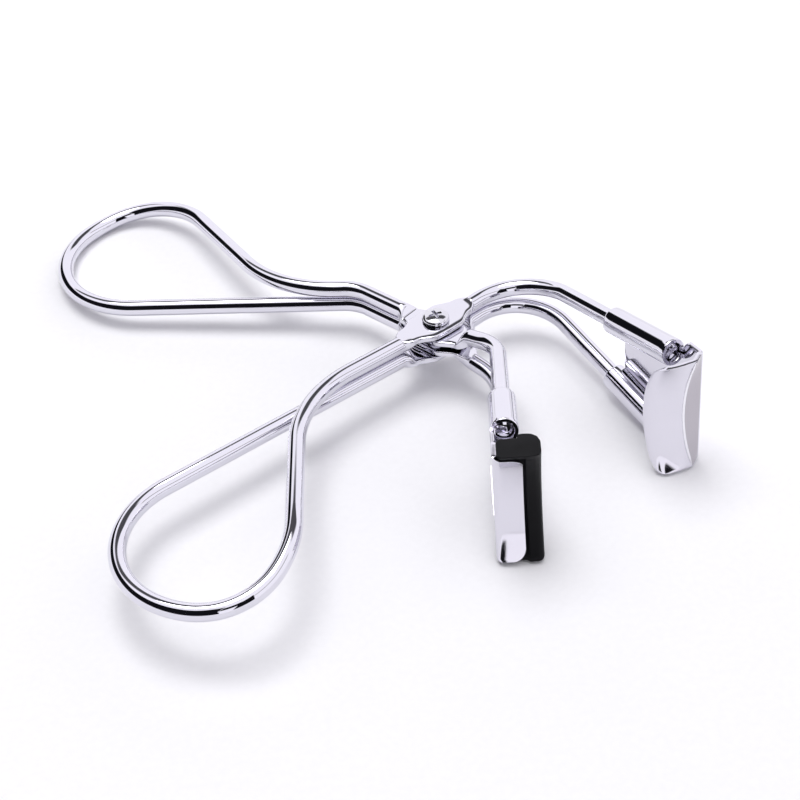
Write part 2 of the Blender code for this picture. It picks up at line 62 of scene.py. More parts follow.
SLEEVE_R, SHEET, SLEEVE_SLOPE, SLEEVE_END, SLEEVE_END_Z = 2.40, 0.78, 0.186, 38.8, 9.1
COUNTER_SLEEVE_START, PAD_SLEEVE_START, WIRE_RECESS, SPREAD_Z = 22.5, 28.4, 0.7, 1.75
JAW_HALF_H, JAW_SAG, JAW_SIDE = 11.4, 3.4, -2.34
COUNTER_BACK, COUNTER_WEB_FRONT, COUNTER_CREASE, COUNTER_EDGE, COUNTER_CORNER_R = 23.8, 43.9, (45.1, 0.2, 0.47, 0.32), 6.45, 2.6
CHANNEL_FRONT, CHANNEL_DEPTH, CHANNEL_FRONT_EDGE, CHANNEL_BACK_EDGE, CHANNEL_BEND_R, CHANNEL_WEB_BACK = 47.6, 5.0, 2.5, 1.4, 0.9, 31.0
PAD_FACE, PAD_REAR, PAD_OVER, PAD_UPPER = 5.5, 1.7, 0.5, 0.895
TIP_X, TIP_Y = -4.143, -1.782

hinge = frame["record"]["behaviour"]["joints"][0]
PIVOT = Vector(hinge["pos_m"])
PLACE = (
    Matrix.Translation(PIVOT)
    @ Matrix.Rotation(math.radians(TIP_Y), 4, "Y")
    @ Matrix.Rotation(math.radians(TIP_X), 4, "X")
    @ Matrix.Scale(0.001, 4)
)
ARC_STEP = 2.4
SIDES = 40


# ---------------------------------------------------------------- helpers
def unit(deg):
    return np.array([math.cos(math.radians(deg)), math.sin(math.radians(deg))])


def smoothstep(x):
    x = min(max(x, 0.0), 1.0)
    return x * x * (3 - 2 * x)


def mesh_object(name, points, faces, sharp=40, hidden=False):
    mesh = bpy.data.meshes.new(name)
    mesh.from_pydata([tuple(PLACE @ Vector(p)) for p in points], [], faces)
    bm = bmesh.new()
    bm.from_mesh(mesh)
    bmesh.ops.recalc_face_normals(bm, faces=bm.faces)
    bm.to_mesh(mesh)
    bm.free()
    obj = bpy.data.objects.new(name, mesh)
    bpy.context.scene.collection.objects.link(obj)
    mesh.shade_smooth()
    mesh.set_sharp_from_angle(angle=math.radians(sharp))
    if hidden:
        obj.hide_render = True
    return obj


def apply_modifiers(obj):
    bpy.context.view_layer.update()
    graph = bpy.context.evaluated_depsgraph_get()
    made = bpy.data.meshes.new_from_object(obj.evaluated_get(graph))
    obj.modifiers.clear()
    old = obj.data
    obj.data = made
    made.name = old.name + "_final"


def cut(obj, *cutters):
    for other in cutters:
        modifier = obj.modifiers.new("cut", "BOOLEAN")
        modifier.operation = "DIFFERENCE"
        modifier.solver = "EXACT"
        modifier.object = other
    apply_modifiers(obj)
    for other in cutters:
        bpy.data.objects.remove(other)


def bevel(obj, width_mm, segments=2, angle=50):
    modifier = obj.modifiers.new("edge", "BEVEL")
    modifier.width = width_mm / 1000
    modifier.segments = segments
    modifier.limit_method = "ANGLE"
    modifier.angle_limit = math.radians(angle)
    modifier.use_clamp_overlap = True
    apply_modifiers(obj)
    obj.data.shade_smooth()
    obj.data.set_sharp_from_angle(angle=math.radians(60))


def skin(rings, closed_ends=True):
    n = len(rings[0])
    points = [tuple(p) for ring in rings for p in ring]
    faces = [tuple(range(n))[::-1], tuple(range(len(points) - n, len(points)))] if closed_ends else []
    for i in range(len(rings) - 1):
        for k in range(n):
            a, b = i * n + k, i * n + (k + 1) % n
            faces.append((a, b, b + n, a + n))
    return points, faces


def lathe(name, profile, sides, sharp=40):
    """Solid of revolution about the pivot axis. A closed profile off the axis makes a ring."""
    ring = profile[0][0] > 0
    turns = [2 * math.pi * k / sides for k in range(sides)]
    points, faces = [], []
    rows = profile if ring else profile[1:-1]
    for r, z in rows:
        points += [(r * math.cos(t), r * math.sin(t), z) for t in turns]
    count = len(rows)
    for i in range(count if ring else count - 1):
        a, b = i * sides, ((i + 1) % count) * sides
        for k in range(sides):
            q = (k + 1) % sides
            faces.append((a + k, a + q, b + q, b + k))
    if not ring:
        for (r, z), base, flip in ((profile[0], 0, True), (profile[-1], (count - 1) * sides, False)):
            centre = len(points)
            points.append((0, 0, z))
            for k in range(sides):
                q = (k + 1) % sides
                faces.append((base + q, base + k, centre) if flip else (base + k, base + q, centre))
    return mesh_object(name, points, faces, sharp)


# ---------------------------------------------------------------- wires
def meet(p, a, q, b):
    s = np.linalg.solve(np.array([a, -b]).T, np.asarray(q, float) - np.asarray(p, float))
    return np.asarray(p, float) + s[0] * a


def fillet(before, at_, after, r):
    d1, d2 = at_ - before, after - at_
    d1, d2 = d1 / np.linalg.norm(d1), d2 / np.linalg.norm(d2)
    turn = math.atan2(d1[0] * d2[1] - d1[1] * d2[0], d1 @ d2)
    start = at_ - d1 * r * math.tan(abs(turn) / 2)
    centre = start + np.array([-d1[1], d1[0]]) * math.copysign(r, turn)
    steps = max(2, math.ceil(math.degrees(abs(turn)) / ARC_STEP))
    out = []
    for k in range(steps + 1):
        c, s = math.cos(turn * k / steps), math.sin(turn * k / steps)
        x, y = start - centre
        out.append(centre + np.array([c * x - s * y, s * x + c * y]))
    return out


def loop_plan():
    p, heading, walked = np.array([LOOP_STRAIGHT, 0.0]), 0.0, 0.0
    pts, marks = [p], [0.0]

    def arc(p, heading, walked, r, turn):
        steps = max(2, math.ceil(abs(turn) / ARC_STEP))
        s = math.copysign(1, turn)
        centre = p + s * r * np.array([-math.sin(heading), math.cos(heading)])
        for k in range(1, steps + 1):
            h = heading + math.radians(turn) * k / steps
            pts.append(centre - s * r * np.array([-math.sin(h), math.cos(h)]))
            marks.append(walked + r * math.radians(abs(turn)) * k / steps)
        return pts[-1], heading + math.radians(turn), marks[-1]

    for r, turn in LOOP_ARCS:
        p, heading, walked = arc(p, heading, walked, r, turn)
    rest = math.pi - heading
    drop = p[1] - LOOP_SWEEP_R * (1 - math.cos(rest))
    run = drop / -math.sin(heading)
    steps = max(1, math.ceil(run / 1.5))
    for k in range(1, steps + 1):
        pts.append(p + run * k / steps * np.array([math.cos(heading), math.sin(heading)]))
        marks.append(walked + run * k / steps)
    p = pts[-1]
    walked += run
    curved = walked
    arc(p, heading, walked, LOOP_SWEEP_R, math.degrees(rest))
    return pts, [m / curved for m in marks]


def jaw_frame(arm_deg, offset, side):
    d = unit(arm_deg)
    n = side * np.array([-d[1], d[0]])
    return -offset * n, d, n


def sleeve_z(u):
    return SLEEVE_END_Z + SLEEVE_SLOPE * (u - SLEEVE_END)


def wire_path(handle_deg, handle_offset, handle_side, plate_deg, neck_r, jaw, bend_r, plate_z):
    """The wire's middle line as dense stations (x, y, z, distance from the pivot)."""
    foot, arm, _ = jaw
    plate, handle = unit(plate_deg), unit(handle_deg)
    across = handle_side * np.array([-handle[1], handle[0]])
    base = handle_offset * across
    zero = np.zeros(2)
    end = foot + (SLEEVE_END - WIRE_RECESS) * arm
    elbow = meet(zero, plate, end, arm)
    arm_pts = [end] + fillet(end, elbow, zero, bend_r)
    runs = np.cumsum([0.0] + [float(np.linalg.norm(b - a)) for a, b in zip(arm_pts, arm_pts[1:] + [zero])])
    whole = float(runs[-1])
    rise = sleeve_z(SLEEVE_END - WIRE_RECESS)

    def arm_z(p):
        line = rise - SLEEVE_SLOPE * (whole - p)
        start = whole - (rise - SPREAD_Z) / SLEEVE_SLOPE
        w = min(8.0, start)
        if p >= start + w:
            return line
        if p <= start - w:
            return SPREAD_Z
        return SPREAD_Z + SLEEVE_SLOPE * (p - start + w) ** 2 / (4 * w)

    pts, marks = loop_plan()
    world = [base + a * handle + b * across for a, b in pts]
    if handle_offset:
        neck = meet(zero, plate, base, handle)
        neck_pts = fillet(zero, neck, world[0], neck_r)
    else:
        neck_pts = [PLATE_END * 1.2 * handle]

    def resample(points, step_near, step_far):
        """Cuts a plan polyline into short runs near the pivot."""
        out, walked = [], 0.0
        for a, b in zip(points, points[1:]):
            length = float(np.linalg.norm(b - a))
            if length < 1e-6:
                continue
            n = max(1, math.ceil(length / (step_near if walked < PLATE_END + 0.5 else step_far)))
            for k in range(n):
                out.append((a + (b - a) * k / n, walked + length * k / n))
            walked += length
        out.append((points[-1], walked))
        return out

    def flatten(z, d):
        w = 1 - smoothstep((abs(d) - PLATE_FLAT) / (PLATE_END - PLATE_FLAT)) if abs(d) < PLATE_END else 0.0
        return z + (math.copysign(plate_z, z) - z) * w

    out_arm = resample([zero] + arm_pts[::-1], 0.22, 0.9)          # pivot to the wire's end
    out_neck = resample([zero] + neck_pts, 0.22, 0.9)              # pivot to the loop
    stations = []
    for p, d in out_arm[::-1]:
        stations.append((*map(float, p), flatten(arm_z(d), d), d))
    for p, d in out_neck[1:]:
        stations.append((*map(float, p), flatten(STRAND_Z, d), d))
    for p, m in zip(world[::-1], marks[::-1]):
        climb = smoothstep((m - CROSS_FROM) / (CROSS_TO - CROSS_FROM))
        stations.append((*map(float, p), STRAND_Z * (2 * climb - 1), 99.0))
    for p, d in out_neck[::-1]:
        stations.append((*map(float, p), flatten(-STRAND_Z, d), d))
    for p, d in out_arm[1:]:
        stations.append((*map(float, p), flatten(-arm_z(d), d), d))
    clean = [stations[0]]
    for s in stations[1:]:
        if math.dist(s[:3], clean[-1][:3]) > 0.05:
            clean.append(s)
    return clean


def section(d):
    if d >= PLATE_END:
        return WIRE_R, WIRE_R, 2.0
    flat = 1 - smoothstep((d - PLATE_FLAT) / (PLATE_END - PLATE_FLAT))
    if d <= PLATE_FLAT:
        wide = PLATE_HALF_W + (PLATE_NECK_W - PLATE_HALF_W) * smoothstep((d - PLATE_ROUND) / (PLATE_FLAT - PLATE_ROUND))
    else:
        wide = WIRE_R + (PLATE_NECK_W - WIRE_R) * flat
    return wide, WIRE_R + (PLATE_T / 2 - WIRE_R) * flat, 2.0 + 5.0 * flat


def wire(name, stations):
    pts = [Vector(s[:3]) for s in stations]
    rings = []
    last = len(pts) - 1
    for i, p in enumerate(pts):
        before, after = pts[max(i - 1, 0)], pts[min(i + 1, last)]
        tangent = (after - before).normalized()
        side = Vector((0, 0, 1)).cross(tangent).normalized()
        up = tangent.cross(side)
        a, b, n = section(stations[i][3])
        shrink = 1.0
        ring = []
        for k in range(SIDES):
            t = 2 * math.pi * (k + 0.5) / SIDES
            c, s = math.cos(t), math.sin(t)
            x = math.copysign(abs(c) ** (2 / n), c) * a * shrink
            y = math.copysign(abs(s) ** (2 / n), s) * b * shrink
            ring.append(p + x * side + y * up)
        if i in (0, last):       # the sawn end has a small chamfer
            t = tangent * (-1 if i == 0 else 1)
            near = [p + (q - p) for q in ring]
            tip = [p + (q - p) * 0.86 + t * 0.0 for q in ring]
            body = [q - t * 0.22 for q in near]
            rings += [tip, body] if i == 0 else [body, tip]
        else:
            rings.append(ring)
    return mesh_object(name, *skin(rings), sharp=50)


# ---------------------------------------------------------------- jaws
SAG_R = (JAW_HALF_H**2 + JAW_SAG**2) / (2 * JAW_SAG)
COUNTER = jaw_frame(COUNTER_ARM_DEG, COUNTER_ARM_OFFSET, -1)
PAD = jaw_frame(PAD_ARM_DEG, PAD_ARM_OFFSET, 1)


def sag(z):
    z = min(abs(z), JAW_HALF_H)
    return math.sqrt(SAG_R**2 - z * z) - (SAG_R - JAW_SAG)


def at(jaw, u, v, z):
    foot, d, n = jaw
    p = foot + u * d + v * n
    return (float(p[0]), float(p[1]), z)


def rounded_top(distance, radius):
    if distance >= radius:
        return 0.0
    return radius - math.sqrt(max(radius**2 - (radius - distance) ** 2, 0.0))


def smooth_outline(knots, step):
    """Even Catmull-Rom points through the knots, each a tuple of numbers whose first two are plan coordinates."""
    k = [np.array(p, float) for p in knots]
    k = [2 * k[0] - k[1]] + k + [2 * k[-1] - k[-2]]
    out = []
    for i in range(1, len(k) - 2):
        p0, p1, p2, p3 = k[i - 1 : i + 3]
        t0 = 0.0
        t1 = t0 + max(np.linalg.norm((p1 - p0)[:2]), 1e-6) ** 0.5
        t2 = t1 + max(np.linalg.norm((p2 - p1)[:2]), 1e-6) ** 0.5
        t3 = t2 + max(np.linalg.norm((p3 - p2)[:2]), 1e-6) ** 0.5
        n = max(1, math.ceil(np.linalg.norm((p2 - p1)[:2]) / step))
        for j in range(n):
            t = t1 + (t2 - t1) * j / n
            a1 = (t1 - t) / (t1 - t0) * p0 + (t - t0) / (t1 - t0) * p1
            a2 = (t2 - t) / (t2 - t1) * p1 + (t - t1) / (t2 - t1) * p2
            a3 = (t3 - t) / (t3 - t2) * p2 + (t - t2) / (t3 - t2) * p3
            b1 = (t2 - t) / (t2 - t0) * a1 + (t - t0) / (t2 - t0) * a2
            b2 = (t3 - t) / (t3 - t1) * a2 + (t - t1) / (t3 - t1) * a3
            out.append((t2 - t) / (t2 - t1) * b1 + (t - t1) / (t2 - t1) * b2)
    out.append(k[-2])
    return out


def sheet_shell(name, jaw, outline, tops, thickness, upper=1.0, levels=44, edge=0.2):
    """A bent sheet with rolled-over edges, from its outer face in plan. See the CAD for (u, v, back, inwards)."""
    n = len(outline)
    uppers = upper if isinstance(upper, list) else [upper] * n
    shares = [-1 + 2 * k / levels for k in range(levels + 1)]
    outer, inner = [], []
    for share in shares:
        heights = [t * share * (w if share > 0 else 1.0) for t, w in zip(tops, uppers)]
        row = [np.array([p[0] - p[2] * sag(z), p[1] + p[3] * sag(z)]) for p, z in zip(outline, heights)]
        outs, ins = [], []
        for i in range(n):
            t = row[min(i + 1, n - 1)] - row[max(i - 1, 0)]
            t /= np.linalg.norm(t)
            outs.append(at(jaw, *row[i], heights[i]))
            ins.append(at(jaw, *(row[i] + thickness * np.array([-t[1], t[0]])), heights[i]))
        outer.append(outs)
        inner.append(ins)
    points = [p for row in outer for p in row] + [p for row in inner for p in row]
    g = lambda s, k, i: s * (levels + 1) * n + k * n + i
    faces = []
    for k in range(levels):
        for i in range(n - 1):
            faces.append((g(0, k, i), g(0, k, i + 1), g(0, k + 1, i + 1), g(0, k + 1, i)))
            faces.append((g(1, k, i), g(1, k + 1, i), g(1, k + 1, i + 1), g(1, k, i + 1)))
        for i in (0, n - 1):
            faces.append((g(0, k, i), g(0, k + 1, i), g(1, k + 1, i), g(1, k, i)))
    for i in range(n - 1):
        for k in (0, levels):
            faces.append((g(0, k, i), g(1, k, i), g(1, k, i + 1), g(0, k, i + 1)))
    obj = mesh_object(name, points, faces, sharp=50)
    bevel(obj, edge, segments=3, angle=60)
    return obj


def sleeve(name, jaw, start, s):
    """The sheet rolled round a wire end: a scroll that leaves the web and ends short of it, with its seam facing the other sleeve."""
    a = Vector(at(jaw, start, 0, s * sleeve_z(start)))
    b = Vector(at(jaw, SLEEVE_END, 0, s * sleeve_z(SLEEVE_END)))
    axis = (b - a).normalized()
    n = Vector((*map(float, jaw[2]), 0.0))
    up = n.cross(axis)
    if up.z * s < 0:
        up = -up
    r_out, r_in = SLEEVE_R - 0.01, SLEEVE_R - SHEET
    first, last, steps = math.radians(180), math.radians(-152), 64
    profile = []
    for k in range(steps + 1):
        t = first + (last - first) * k / steps
        profile.append((r_out, t))
    for k in range(steps, -1, -1):
        t = first + (last - first) * k / steps
        profile.append((r_in, t))
    rings = []
    length = (b - a).length
    cuts = [0.0, 0.12, 0.3] + [0.3 + (length - 0.6) * k / 14 for k in range(1, 14)] + [length - 0.3, length - 0.12, length]
    for c in cuts:
        e = min(c, length - c)
        inset = 0.11 if e < 0.01 else 0.03 if e < 0.2 else 0.0
        ring = []
        for i, (r, t) in enumerate(profile):
            rr = r - inset if r > 2 else r + inset
            ring.append(a + axis * c + rr * (math.cos(t) * n + math.sin(t) * up))
        rings.append(ring)
    # caps are strips, because the profile is not convex
    count = len(profile)
    points, faces = skin(rings, closed_ends=False)
    half = steps + 1
    for base in (0, (len(rings) - 1) * count):
        for k in range(steps):
            o1, o2 = base + k, base + k + 1
            i1, i2 = base + count - 1 - k, base + count - 2 - k
            faces.append((o1, o2, i2, i1))
    return mesh_object(name, points, faces, sharp=48)


def web_top(u):
    if u <= SLEEVE_END:
        return sleeve_z(u)
    return sleeve_z(SLEEVE_END) + (JAW_HALF_H - 0.25 - sleeve_z(SLEEVE_END)) * smoothstep((u - SLEEVE_END) / 1.6)


def counter_sheet():
    side, front = JAW_SIDE, COUNTER_WEB_FRONT
    u, v, back, inwards = COUNTER_CREASE
    edge = COUNTER_EDGE
    web = [(COUNTER_BACK, side, 0.0, 0.0), (30.0, side, 0, 0), (36.0, side, 0, 0), (SLEEVE_END, side, 0, 0), (40.2, side, 0, 0), (41.6, side, 0, 0), (front - 0.95, side, 0, 0)]
    turn = [(front - 0.45, side + 0.09, 0.0, 0.0), (front - 0.12, side + 0.34, 0.0, 0.0), (front + 0.04, side + 0.7, 0.0, 0.0)]
    cheek = [
        (front + (u - front) * s, side + 0.7 + (v - side - 0.7) * s, back * s, inwards * s)
        for s in (0.35, 0.7, 0.93)
    ]
    plate = [
        (u + 0.02, v + 0.28, back + 0.03, inwards), (u - 0.12, v + 1.3, 0.55, 0.22), (u - 0.32, v + 2.6, 0.66, 0.10),
        (u - 0.60, v + 3.8, 0.76, 0.02), (u - 0.88, v + 4.7, 0.88, 0.0),
        (u - 1.20, edge - 0.85, 0.96, 0.0), (u - 1.58, edge - 0.36, 1.0, 0.0), (u - 2.05, edge - 0.07, 1.0, 0.0), (u - 2.65, edge, 1.0, 0.0),
    ]
    outline = smooth_outline(web + turn + cheek + plate, 0.34)
    reach = [0.0]
    for a, b in zip(outline[::-1], outline[::-1][1:]):
        reach.append(reach[-1] + math.hypot(b[0] - a[0], b[1] - a[1]))
    reach = reach[::-1]
    turn_at = front - 0.95
    tops = []
    for p, r in zip(outline, reach):
        if p[0] < turn_at and p[1] < side + 0.05:
            tops.append(web_top(p[0]))
        else:
            tops.append(JAW_HALF_H - rounded_top(r + 0.15, COUNTER_CORNER_R) - 0.25 * (1 - smoothstep((p[1] - side) / 0.9)))
    return sheet_shell("counter_jaw_sheet", COUNTER, outline, tops, SHEET, levels=56)


def counter_cheek():
    """The scooped facet beside the crease, as a thin overlay in a darker chrome tint: painted shade standing in for the
    darker reflection the facet shows.
    """
    side, front = JAW_SIDE, COUNTER_WEB_FRONT
    u, v, back, inwards = COUNTER_CREASE
    knots = [(front + 0.05, side + 0.72, 0.0, 0.0)] + [
        (front + (u - front) * s + 0.02, side + 0.7 + (v - side - 0.7) * s, back * s, inwards * s) for s in (0.2, 0.4, 0.6, 0.8, 0.95, 1.02)
    ]
    outline = [(p[0] + 0.035, p[1] - 0.025, p[2], p[3]) for p in knots]
    return sheet_shell("counter_jaw_cheek", COUNTER, outline, [JAW_HALF_H - 0.16] * len(outline), 0.1, levels=56, edge=0.02)


def counter_crease():
    """The pressed bead that runs down the crease, in a lighter chrome tint: a painted highlight along the crease."""
    u, v, back, inwards = COUNTER_CREASE
    path = []
    for k in range(61):
        z = (JAW_HALF_H - 0.3) * (-1 + 2 * k / 60)
        path.append(Vector(at(COUNTER, u - back * sag(z) + 0.02, v + inwards * sag(z) + 0.12, z)))
    rings = []
    for i, p in enumerate(path):
        t = (path[min(i + 1, 60)] - path[max(i - 1, 0)]).normalized()
        a = Vector((*map(float, COUNTER[2]), 0.0))
        b = t.cross(a).normalized()
        a = b.cross(t)
        r = 0.24 * (1 - 0.7 * smoothstep((abs(i - 30) - 26) / 4))
        rings.append([p + r * (math.cos(q) * a + math.sin(q) * b) for q in (2 * math.pi * j / 14 for j in range(14))])
    return mesh_object("counter_jaw_crease_bead", *skin(rings))


def pad_sheet():
    side, r = JAW_SIDE, CHANNEL_BEND_R + SHEET / 2
    front, back = CHANNEL_FRONT, CHANNEL_FRONT - CHANNEL_DEPTH

    def bend(centre, a0, a1, steps):
        turns = [math.radians(a0 + (a1 - a0) * k / steps) for k in range(1, steps + 1)]
        return [(centre[0] + r * math.cos(a), centre[1] + r * math.sin(a)) for a in turns]

    plan = [(back, CHANNEL_BACK_EDGE), (back, (CHANNEL_BACK_EDGE + side + r) / 2), (back, side + r)]
    plan += bend((back + r, side + r), 180, 270, 9)
    plan += [(back + r + (front - back - 2 * r) * s, side) for s in (0.3, 0.6)]
    plan += [(front - r, side)]
    plan += bend((front - r, side + r), -90, 0, 9)
    span = CHANNEL_FRONT_EDGE - side - r
    plan += [(front, side + r + span * s) for s in (0.2, 0.4, 0.52, 0.62, 0.7, 0.78, 0.85, 0.91, 0.96, 1.0)]
    tops = []
    for u, v in plan:
        distance = CHANNEL_FRONT_EDGE - v if u > (front + back) / 2 else 9.0
        tops.append(JAW_HALF_H - rounded_top(distance + 0.1, 2.2))
    # the silicone's upper lip covers the walls, so their upper ends are a little lower than the base's
    upper = [PAD_UPPER * (1 - (0.095 if u > (front + back) / 2 else 0.075) * smoothstep((v - side) / 1.6)) for u, v in plan]
    return sheet_shell("pad_jaw_sheet", PAD, [(u, v, 1.0, 0.0) for u, v in plan], tops, SHEET, upper=upper, levels=56, edge=0.16)


def pad_web():
    side, far = JAW_SIDE + 0.015, CHANNEL_FRONT - CHANNEL_DEPTH + 2.0
    web = [(CHANNEL_WEB_BACK + (far - CHANNEL_WEB_BACK) * k / 40, side) for k in range(41)]
    web = [(u, v, smoothstep((u - CHANNEL_WEB_BACK) / (far - CHANNEL_WEB_BACK)), 0.0) for u, v in web]
    tops = [min(web_top(p[0]), JAW_HALF_H - 0.3) for p in web]
    return sheet_shell("pad_jaw_web_sheet", PAD, web, tops, SHEET - 0.08, upper=PAD_UPPER, levels=30, edge=0.14)


def silicone():
    lo = CHANNEL_FRONT - CHANNEL_DEPTH + SHEET + 0.04
    hi = CHANNEL_FRONT - SHEET - 0.04
    floor = JAW_SIDE + SHEET + 0.06
    back, front = CHANNEL_BACK_EDGE + 0.2, CHANNEL_FRONT_EDGE + 0.2
    f, rear = PAD_FACE, CHANNEL_FRONT - CHANNEL_DEPTH + SHEET + 0.1 - PAD_REAR

    def plan(lip):
        """The section. The lip at the upper end reaches over the channel's walls."""
        a, b = lo - 0.62 * lip, hi + 0.66 * lip
        knots = [
            (a + 0.5, floor), (b - 0.5, floor), (b, floor + 0.5), (b, front - 0.5 * lip), (hi + 0.5 + 0.2 * lip, front + 0.4),
            (hi + 0.5, f - 0.9), (hi + 0.2, f - 0.25), (hi - 0.6, f), (rear + 1.9, f), (rear + 0.75, f - 0.45),
            (rear + 0.12, f - 1.3), (rear, f - 2.0), (rear, back + 0.6), (rear + 0.3, back + 0.3), (a, back + 0.25), (a, floor + 0.5),
        ]
        out = []
        m = len(knots)
        for i in range(m):
            before, p, after = (np.array(q, float) for q in (knots[i - 1], knots[i], knots[(i + 1) % m]))
            la, lb = np.linalg.norm(before - p), np.linalg.norm(after - p)
            r = 0.26
            pa, pb = p + (before - p) / la * min(r, la * 0.45), p + (after - p) / lb * min(r, lb * 0.45)
            for t in (0.0, 0.25, 0.5, 0.75, 1.0):
                out.append((1 - t) ** 2 * pa + 2 * t * (1 - t) * p + t * t * pb)
        return out

    half = JAW_HALF_H + PAD_OVER
    centre = np.array([(lo + hi) / 2, (floor + f) / 2])
    rings = []
    ends = [(1.0, 0.93), (0.9985, 0.95), (0.9955, 0.968), (0.990, 0.983), (0.983, 0.993), (0.974, 0.998), (0.96, 1.0)]
    levels = [(-e, p) for e, p in ends] + [(-0.95 + 1.9 * k / 80, 1.0) for k in range(1, 80)] + [(e, p) for e, p in ends[::-1]]
    for share, pinch in levels:
        z = half * share * (PAD_UPPER if share > 0 else 1.0)
        lip = smoothstep((z - 9.42) / 0.3)
        rings.append([at(PAD, *(centre + (p - centre) * pinch - np.array([sag(z), 0])), z) for p in plan(lip)])
    return mesh_object("silicone_pad_fine", *skin(rings), sharp=55)


def pad_seam():
    """The moulding's parting line: a hair-thin raised rib down the front face, stopping short of both ends."""
    hi = CHANNEL_FRONT - SHEET - 0.1
    half = JAW_HALF_H + PAD_OVER
    front = CHANNEL_FRONT_EDGE + 0.2
    v = front + 0.85
    path = []
    for k in range(61):
        z = half * (-0.955 + 1.91 * k / 60)
        z = z * PAD_UPPER if z > 0 else z
        path.append(Vector(at(PAD, hi + 0.475 - sag(z), v, z)))
    rings = []
    for i, p in enumerate(path):
        t = (path[min(i + 1, 60)] - path[max(i - 1, 0)]).normalized()
        a = Vector((*map(float, PAD[2]), 0.0))
        b = t.cross(a).normalized()
        rings.append([p + 0.07 * (math.cos(q) * a + math.sin(q) * b) for q in (2 * math.pi * j / 8 for j in range(8))])
    return mesh_object("silicone_pad_parting_line", *skin(rings))


# ---------------------------------------------------------------- materials
def new_material(name):
    made = bpy.data.materials.new(name)
    made.use_nodes = True
    tree = made.node_tree
    return made, tree, tree.nodes["Principled BSDF"]


def add(tree, kind, **inputs):
    node = tree.nodes.new(kind)
    for key, value in inputs.items():
        node.inputs[key.replace("_", " ")].default_value = value
    return node


def ramp(tree, source, stops):
    node = tree.nodes.new("ShaderNodeValToRGB")
    while len(node.color_ramp.elements) > len(stops):
        node.color_ramp.elements.remove(node.color_ramp.elements[-1])
    while len(node.color_ramp.elements) < len(stops):
        node.color_ramp.elements.new(1.0)
    for element, (position, color) in zip(node.color_ramp.elements, stops):
        element.position = position
        element.color = (*color, 1.0) if len(color) == 3 else color
    tree.links.new(source, node.inputs["Fac"])
    return node


def chrome(name, tint, low, high, bump, wear_scale):
    """Plated metal: fine polishing haze, a few hairline marks and a very faint orange peel."""
    made, tree, shader = new_material(name)
    links = tree.links
    where = tree.nodes.new("ShaderNodeTexCoord")
    haze = add(tree, "ShaderNodeTexNoise", Scale=wear_scale, Detail=4.0, Roughness=0.6)
    links.new(where.outputs["Object"], haze.inputs["Vector"])
    rough = tree.nodes.new("ShaderNodeMapRange")
    rough.inputs["From Min"].default_value = 0.3
    rough.inputs["From Max"].default_value = 0.75
    rough.inputs["To Min"].default_value = low
    rough.inputs["To Max"].default_value = high
    links.new(haze.outputs["Fac"], rough.inputs["Value"])
    # hairline marks
    stretch = tree.nodes.new("ShaderNodeMapping")
    stretch.inputs["Rotation"].default_value = (0.0, 0.0, 0.6)
    stretch.inputs["Scale"].default_value = (1400.0, 90.0, 500.0)
    links.new(where.outputs["Object"], stretch.inputs["Vector"])
    lines = add(tree, "ShaderNodeTexNoise", Scale=1.0, Detail=2.0, Roughness=0.5)
    links.new(stretch.outputs["Vector"], lines.inputs["Vector"])
    marks = ramp(tree, lines.outputs["Fac"], [(0.66, (0, 0, 0)), (0.74, (1, 1, 1))])
    total = tree.nodes.new("ShaderNodeMath")
    total.operation = "MULTIPLY_ADD"
    total.inputs[1].default_value = 0.05
    links.new(marks.outputs["Color"], total.inputs[0])
    links.new(rough.outputs["Result"], total.inputs[2])
    links.new(total.outputs["Value"], shader.inputs["Roughness"])
    # slight change of tone in the plating
    tone = ramp(tree, haze.outputs["Fac"], [(0.3, tuple(c * 0.965 for c in tint)), (0.7, tint)])
    links.new(tone.outputs["Color"], shader.inputs["Base Color"])
    peel = add(tree, "ShaderNodeTexNoise", Scale=420.0, Detail=1.0, Roughness=0.4)
    links.new(where.outputs["Object"], peel.inputs["Vector"])
    relief = tree.nodes.new("ShaderNodeBump")
    relief.inputs["Strength"].default_value = bump
    relief.inputs["Distance"].default_value = 0.00002
    links.new(peel.outputs["Fac"], relief.inputs["Height"])
    links.new(relief.outputs["Normal"], shader.inputs["Normal"])
    shader.inputs["Metallic"].default_value = 1.0
    return made


